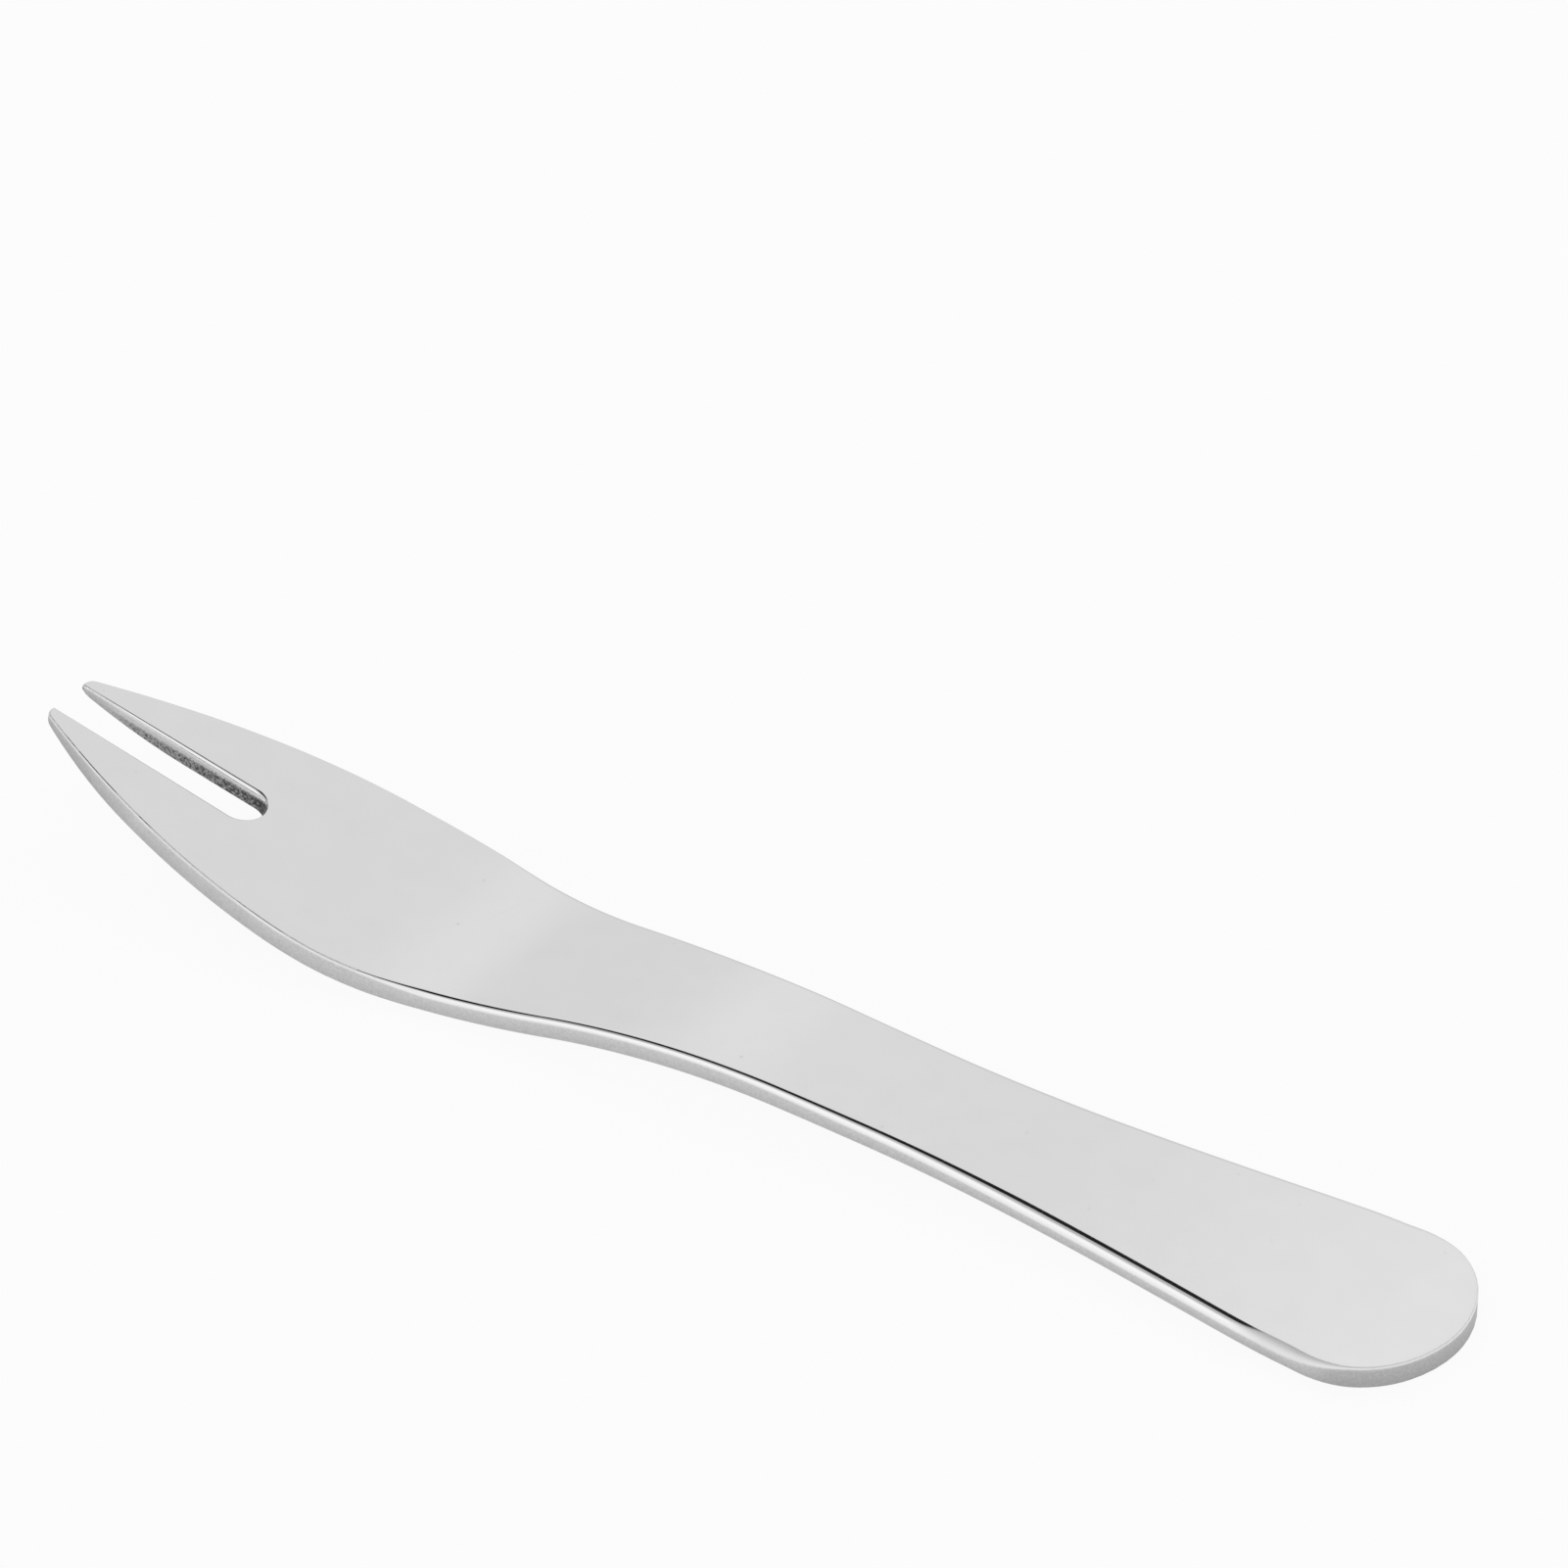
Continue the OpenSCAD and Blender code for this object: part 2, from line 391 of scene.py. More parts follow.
    def _wall_shade(self, tree: Tree, marks: SteelMarks) -> Socket:
        """Find the walls that are painted with shade.

        Args:
            tree: Node tree of the material.
            marks: Patterns and masks of the steel.

        Returns:
            Up to 1 on the walls at the end of the handle, at the tips and in the slot.
        """
        shaded = add_node(tree, "ShaderNodeMapRange", SMOOTH, {
            "Value": marks.along,
            "From Min": self.shade_end_from * MM, "From Max": self.shade_end_to * MM,
        }).outputs[0]
        tip = add_node(tree, "ShaderNodeMapRange", SMOOTH, {
            "Value": marks.along,
            "From Min": self.shade_tip_from * MM, "From Max": self.shade_tip_to * MM,
            "To Max": self.shade_tip_share,
        }).outputs[0]
        tip = add_node(tree, "ShaderNodeMath", TIMES, {0: tip, 1: marks.outside}).outputs[0]
        for part in (tip, marks.tear):
            shaded = add_node(tree, "ShaderNodeMath", GREATER, {0: shaded, 1: part}).outputs[0]
        return add_node(tree, "ShaderNodeMath", {**TIMES, "use_clamp": True}, {
            0: shaded, 1: marks.wall,
        }).outputs[0]

    def _tone(self, tree: Tree, marks: SteelMarks) -> Socket:
        """Mix the colour.

        Args:
            tree: Node tree of the material.
            marks: Patterns and masks of the steel.

        Returns:
            The colour: painted lighter towards the end of the handle, with a painted
            highlight on the roll of the edges, painted shade down the walls, and darkest
            where torn.
        """
        # Painted light: the face is lighter towards the end of the handle.
        heel = add_node(tree, "ShaderNodeMapRange", SMOOTH, {
            "Value": marks.along,
            "From Min": self.heel_from * MM, "From Max": self.heel_to * MM,
        }).outputs[0]
        # Painted highlight on the roll of the edges.
        bright = add_node(tree, "ShaderNodeMapRange", SMOOTH, {
            "Value": marks.edge, "From Min": self.highlight_from, "From Max": self.highlight_to,
        }).outputs[0]
        # This lays on the painted light of the handle's face, the painted highlight of the roll
        # and the painted shade down the walls.
        colour: Socket | tuple[float, ...] = srgb(self.colour)
        for share, code in (
            (heel, self.heel_painted_light),
            (bright, self.roll_highlight_colour),
            (marks.wall, self.wall_top_shade_colour),
            (marks.down, self.wall_foot_shade_colour),
        ):
            colour = add_node(tree, "ShaderNodeMix", COLOURS, {
                0: share, 6: colour, 7: srgb(code),
            }).outputs[2]
        # Painted shade on the walls at the end of the handle, the tips and the slot.
        colour = add_node(tree, "ShaderNodeMix", TINT, {
            0: self._wall_shade(tree, marks), 6: colour, 7: srgb(self.wall_shade_tint),
        }).outputs[2]

        # The faces are faintly clouded, and the walls have a fine grain.
        clouded = add_node(tree, "ShaderNodeMapRange", None, {
            "Value": marks.haze, "From Min": NOISE_LOW, "From Max": NOISE_HIGH,
            "To Min": 1 - self.cloud, "To Max": 1 + self.cloud,
        }).outputs[0]
        grained = add_node(tree, "ShaderNodeMapRange", None, {
            "Value": marks.grain, "From Min": NOISE_LOW, "From Max": NOISE_HIGH,
            "To Min": 1 - self.wall_grain, "To Max": 1 + self.wall_grain,
        }).outputs[0]
        shade = add_node(tree, "ShaderNodeMix", VALUES, {
            0: marks.wall, 2: clouded, 3: grained,
        }).outputs[0]
        colour = add_node(tree, "ShaderNodeMix", TINT, {
            0: 1.0, 6: colour, 7: shade,
        }).outputs[2]
        torn = add_node(tree, "ShaderNodeMix", COLOURS, {
            0: marks.speck, 6: srgb(self.torn_dark), 7: srgb(self.torn_colour),
        }).outputs[2]
        return add_node(tree, "ShaderNodeMix", COLOURS, {
            0: marks.torn, 6: colour, 7: torn,
        }).outputs[2]

    def _gloss(self, tree: Tree, marks: SteelMarks) -> Socket:
        """Work out the roughness.

        Args:
            tree: Node tree of the material.
            marks: Patterns and masks of the steel.

        Returns:
            The roughness: hazy on the faces, a clear mirror on the roll of the edges, satin
            down the walls and where the roll is unpolished, and rough where torn.
        """
        polish = add_node(tree, "ShaderNodeMapRange", None, {
            "Value": marks.haze, "From Min": NOISE_LOW, "From Max": NOISE_HIGH,
            "To Min": self.roughness - self.haze, "To Max": self.roughness + self.haze,
        }).outputs[0]
        mirror = add_node(tree, "ShaderNodeMapRange", SMOOTH, {
            "Value": marks.edge, "From Min": 0.0, "From Max": self.mirror_by,
        }).outputs[0]
        polish = add_node(tree, "ShaderNodeMix", VALUES, {
            0: mirror, 2: polish, 3: self.roll_roughness,
        }).outputs[0]
        roll = add_node(tree, "ShaderNodeMix", VALUES, {
            0: marks.unpolished, 2: self.wall_roughness, 3: self.satin_roll_roughness,
        }).outputs[0]
        wall = add_node(tree, "ShaderNodeMix", VALUES, {
            0: marks.unpolished, 2: self.wall_roughness, 3: self.satin_wall_roughness,
        }).outputs[0]
        satin = add_node(tree, "ShaderNodeMix", VALUES, {
            0: marks.wall, 2: roll, 3: wall,
        }).outputs[0]
        satin = add_node(tree, "ShaderNodeMix", VALUES, {
            0: marks.brushed, 2: polish, 3: satin,
        }).outputs[0]
        return add_node(tree, "ShaderNodeMix", VALUES, {
            0: marks.torn, 2: satin, 3: self.torn_roughness,
        }).outputs[0]

    def _relief(self, tree: Tree, marks: SteelMarks) -> Socket:
        """Carve the hairlines, the nicks and the torn grain.

        Args:
            tree: Node tree of the material.
            marks: Patterns and masks of the steel.

        Returns:
            The normal.
        """
        relief: Socket | None = None
        for turn in self.hairline_turns:
            lay = add_node(tree, "ShaderNodeMapping", {"vector_type": "TEXTURE"}, {
                "Vector": marks.place,
                "Rotation": (0.0, 0.0, math.radians(turn)),
                "Scale": (self.hairline_length * MM, self.hairline_width * MM, MM),
            }).outputs[0]
            hairline = add_node(tree, "ShaderNodeTexNoise", {"noise_dimensions": "2D"}, {
                "Vector": lay, "Scale": 1.0, "Detail": 1.0,
            }).outputs[0]
            cut = add_node(tree, "ShaderNodeMapRange", None, {
                "Value": hairline,
                "From Min": self.hairline_from, "From Max": self.hairline_to,
            }).outputs[0]
            relief = self._carve(tree, cut, self.hairline_depth, relief)

        dots = add_node(tree, "ShaderNodeTexVoronoi", {"voronoi_dimensions": "2D"}, {
            "Vector": marks.place, "Scale": 1 / (self.nick_spacing * MM),
        })
        nick = add_node(tree, "ShaderNodeMapRange", SMOOTH, {
            "Value": dots.outputs["Distance"],
            "From Min": self.nick_size / self.nick_spacing / 2, "From Max": 0.0,
        }).outputs[0]
        chosen = add_node(tree, "ShaderNodeMath", {"operation": "LESS_THAN"}, {
            0: dots.outputs["Color"], 1: self.nick_share,
        }).outputs[0]
        nick = add_node(tree, "ShaderNodeMath", TIMES, {0: nick, 1: chosen}).outputs[0]
        relief = self._carve(tree, nick, self.nick_depth, relief)

        pit = add_node(tree, "ShaderNodeMath", TIMES, {
            0: marks.torn, 1: marks.speck,
        }).outputs[0]
        return self._carve(tree, pit, self.torn_depth, relief)

    def _carve(
        self, tree: Tree, pattern: Socket, depth: float, relief: Socket | None,
    ) -> Socket:
        """Press a pattern into the surface.

        Args:
            tree: Node tree of the material.
            pattern: Output that is 1 where the surface is lowest.
            depth: Depth of the pattern in millimetres.
            relief: Normal that the pattern adds to.

        Returns:
            The new normal.
        """
        inputs: dict[str | int, object] = {
            "Height": pattern, "Strength": 1.0, "Distance": depth * MM,
        }
        if relief is not None:
            inputs["Normal"] = relief
        return add_node(tree, "ShaderNodeBump", {"invert": True}, inputs).outputs[0]


@dataclass
class Fork:
    """The fork: one sheet, with a flat handle, a waisted neck and a head of two tines.

    A place along the blank is its distance from the end of the handle, and a depth is the
    distance below the upper face.
    """

    # The sheet, and how it thins towards the tips.
    overall_length: float = 135.0
    sheet: float = 2.0
    thinning: float = 11.0
    tip_thickness: float = 0.8
    tip_bevel: float = 0.35
    tip_bevel_run: float = 0.8

    # The outline. A size whose name ends in back is measured from the tips.
    handle_width: float = 19.2
    end_flattening: float = 0.9
    corner_inset: float = 1.1
    taper_at: float = 21.0
    taper_inset: float = 1.1
    taper_angle: float = 6.7

    neck_back: float = 84.5
    neck_width: float = 12.5
    shoulder_back: float = 48.2
    shoulder_angle: float = 8.2
    head_back: float = 31.8
    head_width: float = 20.7

    slot_length: float = 20.2
    slot_end_width: float = 3.8
    slot_mouth_width: float = 3.9
    tip_radius: float = 1.0
    tip_inset: float = 0.35
    tip_angle: float = 23.0

    # The bends. A run is the length over which the sheet curves into a straight slope.
    heel_flat: float = 5.0
    heel_run: float = 4.0
    crown_back: float = 71.5
    crown_height: float = 2.3
    crown_run_handle: float = 4.0
    crown_run_head: float = 18.0
    dish_back: float = 43.25
    dish_run_neck: float = 10.0
    dish_run_tines: float = 15.5
    tip_rise: float = 7.6

    # The rounding of the edges: the radius of the upper edge from place to place, its
    # share for the lower edge, and what the punch does at the slot.
    edge_end: float = 0.2
    edge_handle: float = 0.85
    edge_neck: float = 0.5
    edge_head: float = 0.21
    edge_tip: float = 0.18
    under_share: float = 0.6
    edge_end_to: float = 5.0
    edge_from: float = 10.0
    edge_fade: float = 28.0
    edge_neck_to: float = 92.0
    edge_head_from: float = 97.0
    edge_share: float = 0.46
    slot_roll: float = 2.2
    slot_end_roll: float = 0.5
    slot_end_tear: float = 0.6

    # How finely the mesh is divided.
    corner_columns: int = 12
    side_columns: int = 150
    slot_end_columns: int = 12
    tine_columns: int = 44
    tip_columns: int = 8
    upper_steps: int = 9
    lower_steps: int = 5
    row_shares: tuple[float, ...] = (0.0, 0.02, 0.1, 0.28, 0.5, 0.72, 0.9, 0.98, 1.0)
    wall_shares: tuple[float, ...] = (0.08, 0.3, 0.5, 0.7, 0.92)
    merge: float = 1e-4

    finish: PolishedStainless = field(default_factory=PolishedStainless)

    def __post_init__(self) -> None:
        """Work out the places that follow from the sizes."""
        length = self.overall_length
        half = self.handle_width / 2
        self.slot_at: float = length - self.slot_length
        self.crown_at: float = length - self.crown_back
        self.dish_at: float = length - self.dish_back
        shoulder_at = length - self.shoulder_back
        self.end_radius: float = half + self.end_flattening
        self.corner_radius: float = half - self.corner_inset
        reach = self.end_flattening + self.corner_inset
        self.corner_turn: float = math.asin(self.corner_inset / reach)
        self.corner_centre: Vector = Vector((
            self.end_radius - reach * math.cos(self.corner_turn), self.corner_inset,
        ))
        self.slot_end_radius: float = self.slot_end_width / 2
        self.slot_side_to: float = self.slot_at + self.slot_end_radius
        self.tip_centre: Vector = Vector((
            length - self.tip_radius, self.slot_mouth_width / 2 + self.tip_inset,
        ))
        self.tip_turn: float = math.radians(90 - self.tip_angle)
        self.tip_corner: float = math.asin(self.tip_inset / self.tip_radius)
        tip_side = self.tip_rim(1.0).at
        self.stations: tuple[tuple[float, ...], ...] = (
            (self.corner_centre.x, half, 0.0),
            (self.taper_at, half - self.taper_inset, -math.tan(math.radians(self.taper_angle))),
            (length - self.neck_back, self.neck_width / 2, 0.0),
            (
                shoulder_at,
                (self.neck_width + self.head_width) / 4,
                math.tan(math.radians(self.shoulder_angle)),
            ),
            (length - self.head_back, self.head_width / 2, 0.0),
            (tip_side.x, tip_side.y, -math.tan(math.radians(self.tip_angle))),
        )
        self.edge_stations: tuple[tuple[float, float], ...] = (
            (0.0, self.edge_end),
            (self.edge_end_to, self.edge_end),
            (self.edge_from, self.edge_handle),
            (self.crown_at - self.edge_fade, self.edge_handle),
            (self.crown_at, self.edge_neck),
            (self.edge_neck_to, self.edge_neck),
            (self.edge_head_from, self.edge_head),
            (length, self.edge_tip),
        )
        self.bends: tuple[tuple[float, ...], ...] = (
            (self.heel_flat, self.crown_at, self.crown_height,
             self.heel_run, self.crown_run_handle),
            (self.crown_at, self.dish_at, -self.crown_height,
             self.crown_run_head, self.dish_run_neck),
            (self.dish_at, length, self.tip_rise, self.dish_run_tines, 0.0),
        )

    def _span(self, u: float) -> tuple[tuple[float, ...], tuple[float, ...]]:
        """Find the stretch of the side that a place lies on.

        Args:
            u: Place along the blank.

        Returns:
            The stations at its two ends.
        """
        for a, b in zip(self.stations, self.stations[1:]):
            if u <= b[0]:
                break
        return a, b

    def half_width(self, u: float) -> float:
        """Follow the outline of the side.

        Args:
            u: Place along the blank.

        Returns:
            Half the width of the blank there.
        """
        a, b = self._span(u)
        run = b[0] - a[0]
        s = (u - a[0]) / run
        return (
            a[1] * (1 + 2 * s) * (1 - s) ** 2 + b[1] * (3 - 2 * s) * s ** 2
            + run * (a[2] * s * (1 - s) ** 2 - b[2] * (1 - s) * s ** 2)
        )

    def side_slope(self, u: float) -> float:
        """Follow the slant of the side.

        Args:
            u: Place along the blank.

        Returns:
            How fast half the width grows there.
        """
        a, b = self._span(u)
        run = b[0] - a[0]
        s = (u - a[0]) / run
        return (
            6 * s * (1 - s) * (b[1] - a[1]) / run
            + a[2] * (1 - s) * (1 - 3 * s) + b[2] * s * (3 * s - 2)
        )

    def thickness(self, u: float) -> float:
        """Follow the thickness of the sheet, which falls towards the tips.

        Args:
            u: Place along the blank.

        Returns:
            The thickness there.
        """
        thinned = max(0.0, 1 + (u - self.overall_length) / self.thinning)
        bevelled = max(0.0, 1 + (u - self.overall_length) / self.tip_bevel_run)
        loss = (self.sheet - self.tip_thickness) * thinned ** 2
        return self.sheet - loss - self.tip_bevel * bevelled ** 2

    def rounding(self, rim: RimPoint) -> float:
        """Work out how much the upper edge is rounded.

        Args:
            rim: Place on the rim.

        Returns:
            The radius of the upper edge there.
        """
        u = rim.at.x
        for (a, low), (b, high) in zip(self.edge_stations, self.edge_stations[1:]):
            if u <= b:
                break
        radius = low + (high - low) * (u - a) / (b - a)
        return min(radius * rim.roll, self.edge_share * self.thickness(u))

    def height_and_slope(self, u: float) -> tuple[float, float]:
        """Follow the bends of the sheet.

        Args:
            u: Place along the blank.

        Returns:
            Height of the upper face above the table, and its slope.
        """
        height, slope = self.sheet, 0.0
        for start, end, gain, run_in, run_out in self.bends:
            grade = gain / (end - start - (run_in + run_out) / 2)
            at = min(max(u, start), end)
            if at < start + run_in:
                height += grade * (at - start) ** 2 / (2 * run_in)
                slope += grade * (at - start) / run_in
            elif at > end - run_out:
                height += gain - grade * (end - at) ** 2 / (2 * run_out)
                slope += grade * (end - at) / run_out
            else:
                height += grade * (at - start - run_in / 2)
                slope += grade
        return height, slope

    def end_rim(self, share: float) -> RimPoint:
        """Follow the arc of the handle's end.

        Args:
            share: How far along the arc, from the middle to the corner.

        Returns:
            The place on the rim.
        """
        turn = self.corner_turn * share
        way = Vector((math.cos(turn), -math.sin(turn)))
        return RimPoint(Vector((self.end_radius, 0.0)) - way * self.end_radius, way)

    def corner_rim(self, share: float) -> RimPoint:
        """Follow the corner of the handle.

        Args:
            share: How far round the corner, from the end to the side.

        Returns:
            The place on the rim.
        """
        turn = self.corner_turn + (math.pi / 2 - self.corner_turn) * share
        way = Vector((math.cos(turn), -math.sin(turn)))
        return RimPoint(self.corner_centre - way * self.corner_radius, way)

    def side_rim(self, u: float) -> RimPoint:
        """Return a place on the long outer side."""
        way = Vector((self.side_slope(u), -1.0)).normalized()
        return RimPoint(Vector((u, self.half_width(u))), way)

    def tip_rim(self, share: float) -> RimPoint:
        """Follow the arc of a tip.

        Args:
            share: How far along the arc, from the slot to the outer side.

        Returns:
            The place on the rim.
        """
        turn = -self.tip_corner + (self.tip_turn + self.tip_corner) * share
        way = -Vector((math.cos(turn), math.sin(turn)))
        at = self.tip_centre - way * self.tip_radius
        # At the corner with the slot the way in is the mitre of both sides.
        if share == 0.0:
            beside = self.slot_side_rim(1.0).inward
            way = (way + beside) / (1 + way.dot(beside))
        return RimPoint(at, way)

    def slot_side_rim(self, share: float) -> RimPoint:
        """Follow the side of the slot.

        Args:
            share: How far along the side, from the round end of the slot to the tip.

        Returns:
            The place on the rim.
        """
        start = Vector((self.slot_side_to, self.slot_end_radius))
        reach = self.tip_centre.x + self.tip_radius * math.cos(self.tip_corner)
        end = Vector((reach, self.slot_mouth_width / 2))
        along = (end - start).normalized()
        roll = self.slot_roll + (1 - self.slot_roll) * share
        return RimPoint(start.lerp(end, share), Vector((-along.y, along.x)), roll, 1 - share)

    def slot_end_rim(self, share: float) -> RimPoint:
        """Follow the round end of the slot.

        Args:
            share: How far along the arc, from the middle to the side of the slot.

        Returns:
            The place on the rim.
        """
        turn = math.pi - math.pi / 2 * share
        way = Vector((math.cos(turn), math.sin(turn)))
        centre = Vector((self.slot_side_to, 0.0))
        roll = self.slot_end_roll + (self.slot_roll - self.slot_end_roll) * share ** 2
        tear = 1 + self.slot_end_tear * (1 - share)
        return RimPoint(centre + way * self.slot_end_radius, way, roll, tear)

    def columns(self) -> list[tuple[RimPoint | Vector, RimPoint]]:
        """Pair the places on the inner side of the half blank with those on its rim.

        Returns:
            For each column of the half blank, its inner end, which is a bare place on the
            middle line or a place on the rim of the slot, and its outer end.
        """
        side_from = self.stations[0][0]
        side_to = self.stations[-1][0]
        pairs: list[tuple[RimPoint | Vector, RimPoint]] = []
        for i in range(self.corner_columns):
            share = i / self.corner_columns
            pairs.append((Vector((side_from * share, 0.0)), self.corner_rim(share)))
        for i in range(self.side_columns):
            u = side_from + (self.slot_at - side_from) * i / self.side_columns
            pairs.append((Vector((u, 0.0)), self.side_rim(u)))
        for i in range(self.slot_end_columns):
            share = i / self.slot_end_columns
            u = self.slot_at + (self.slot_side_to - self.slot_at) * share
            pairs.append((self.slot_end_rim(share), self.side_rim(u)))
        for i in range(self.tine_columns):
            share = i / self.tine_columns
            u = self.slot_side_to + (side_to - self.slot_side_to) * share
            pairs.append((self.slot_side_rim(share), self.side_rim(u)))
        pairs.append((self.tip_rim(0.0), self.tip_rim(1.0)))
        return pairs

    def lay_face(self, mesh: bmesh.types.BMesh, face: Face) -> Rims:
        """Lay out one face of half the blank, set in from the rim by the rounding.

        Args:
            mesh: Mesh that takes the face.
            face: Which face it is.

        Returns:
            The rim point of each vertex at the border of the face, but for the middle line.
        """
        pairs = self.columns()
        last_column = len(pairs) - 1
        last_row = len(self.row_shares) - 1
        share_in = 1.0 if face is Face.UPPER else self.under_share
        rims: Rims = {}

        def place(point: RimPoint | Vector) -> Vector:
            """Find where a point lies on this face.

            Args:
                point: Point of the rim, which is set in by the rounding, or of the middle line.

            Returns:
                Its place on the face.
            """
            if isinstance(point, Vector):
                return point
            return point.inset(share_in * self.rounding(point))

        grid = bmesh.ops.create_grid(
            mesh, x_segments=last_column, y_segments=last_row, size=1.0,
        )
        for vert in grid["verts"]:
            column = round((vert.co.x + 1) / 2 * last_column)
            row = round((vert.co.y + 1) / 2 * last_row)
            to_tip = max(0.0, 1 - (last_column - column) / self.tip_columns)
            share = self.row_shares[row] * (1 - to_tip) + row / last_row * to_tip
            inner, outer = pairs[column]
            flat = place(inner).lerp(place(outer), share)
            if column == 0:
                rims[vert] = self.end_rim(share)
            elif column == last_column:
                rims[vert] = self.tip_rim(share)
            elif row == last_row:
                rims[vert] = outer
            elif row == 0 and isinstance(inner, RimPoint):
                rims[vert] = inner

            # The first columns bow with the handle's end, and the last ones with the tip.
            from_end = 1 - column / self.corner_columns
            if from_end > 0:
                bow = place(self.end_rim(share)) - place(self.end_rim(0.0)).lerp(
                    place(self.end_rim(1.0)), share)
                shift = place(self.end_rim(0.0)) * (1 - share)
                flat += (bow + shift * from_end) * from_end
            if to_tip > 0:
                bow = place(self.tip_rim(share)) - place(self.tip_rim(0.0)).lerp(
                    place(self.tip_rim(1.0)), share)
                flat += bow * to_tip ** 2
            depth = 0.0 if face is Face.UPPER else self.thickness(flat.x)
            vert.co = (flat.x, flat.y, -depth)
        return rims

    def sections(self) -> list[tuple[float, float, float, float]]:
        """List the rings of the rolled edge, from the upper face down.

        Returns:
            For each ring its inset as a share of the rounding, its depth as a share of the
            thickness and as a share of the rounding, and how far round the edge it lies.
        """
        under = self.under_share
        rings: list[tuple[float, float, float, float]] = []
        for i in range(1, self.upper_steps + 1):
            turn = math.pi / 2 * (1 - i / self.upper_steps)
            along = WALL_FROM * i / self.upper_steps
            rings.append((1 - math.cos(turn), 0.0, 1 - math.sin(turn), along))
        for share in self.wall_shares:
            along = WALL_FROM + (1 - WALL_FROM) * share
            rings.append((0.0, share, 1 - share - under * share, along))
        for i in range(self.lower_steps + 1):
            turn = math.pi / 2 * i / self.lower_steps
            rings.append((under * (1 - math.cos(turn)), 1.0, under * (math.sin(turn) - 1), 1.0))
        return rings

    def roll_edges(self, mesh: bmesh.types.BMesh, rims: Rims) -> None:
        """Draw the rim of the upper face down round its edges to the lower face.

        Args:
            mesh: Mesh that holds the upper face of half the blank.
            rims: The rim point of each vertex at the border of that face.
        """
        edge = mesh.verts.layers.float["edge"]
        tear = mesh.verts.layers.float["tear"]
        edges = [
            e for e in mesh.edges
            if e.is_boundary and e.verts[0] in rims and e.verts[1] in rims
        ]
        for inset, depth_share, depth_rounding, along in self.sections():
            grown = bmesh.ops.extrude_edge_only(mesh, edges=edges)["geom"]
            fresh = {g for g in grown if isinstance(g, bmesh.types.BMVert)}
            edges = [
                g for g in grown
                if isinstance(g, bmesh.types.BMEdge) and set(g.verts) <= fresh
            ]
            next_rims: Rims = {}
            for vert in fresh:
                parent = next(
                    e.other_vert(vert) for e in vert.link_edges if e.other_vert(vert) in rims
                )
                rim = rims[parent]
                rounding = self.rounding(rim)
                flat = rim.inset(inset * rounding)
                depth = depth_share * self.thickness(flat.x) + depth_rounding * rounding
                vert.co = (flat.x, flat.y, -depth)
                vert[edge] = along
                vert[tear] = rim.tear
                next_rims[vert] = rim
            rims = next_rims

    def bend(self, mesh: bmesh.types.BMesh) -> None:
        """Bend the blank, and turn it the way that it lies on the table, in metres.

        Args:
            mesh: Mesh of the whole blank.
        """
        for vert in mesh.verts:
            u, y, depth = vert.co.x, vert.co.y, -vert.co.z
            height, slope = self.height_and_slope(u)
            turn = math.atan(slope)
            vert.co = (
                (self.overall_length / 2 - u - depth * math.sin(turn)) * MM,
                y * MM,
                (height - depth * math.cos(turn)) * MM,
            )

    def build(self) -> bpy.types.Object:
        """Build the fork from half a blank, mirrored and bent.

        Returns:
            The fork, at the origin, with its place in its mesh.
        """
        mesh = bmesh.new()
        mesh.verts.layers.float.new("edge")
        mesh.verts.layers.float.new("tear")
        rims = self.lay_face(mesh, Face.UPPER)
        self.roll_edges(mesh, rims)
        self.lay_face(mesh, Face.LOWER)
        bmesh.ops.remove_doubles(mesh, verts=mesh.verts[:], dist=self.merge)
        bmesh.ops.mirror(
            mesh,
            geom=mesh.verts[:] + mesh.edges[:] + mesh.faces[:],
            matrix=Matrix.Identity(4),
            merge_dist=self.merge,
            axis="Y",
        )
        self.bend(mesh)
        bmesh.ops.recalc_face_normals(mesh, faces=mesh.faces[:])
        for face in mesh.faces:
            face.smooth = True
        data = bpy.data.meshes.new("fork_steel")
        mesh.to_mesh(data)
        mesh.free()
        piece = bpy.data.objects.new("fork_steel", data)
        bpy.context.scene.collection.objects.link(piece)
        return piece

    def dress(self, piece: bpy.types.Object) -> None:
        """Give the fork its steel, and let it stand for the CAD solid.

        Args:
            piece: The fork, as it was built.
        """
        piece.data.materials.append(self.finish.material())
        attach(piece, "root")
        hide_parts("fork")


@dataclass(frozen=True)
class Panel:
    """A soft patch of light or shade in the studio, round one direction.

    It has its full level up to the core and fades until its reach, both in degrees.
    """

    direction: tuple[float, float, float]
    core: float
    reach: float
    level: float


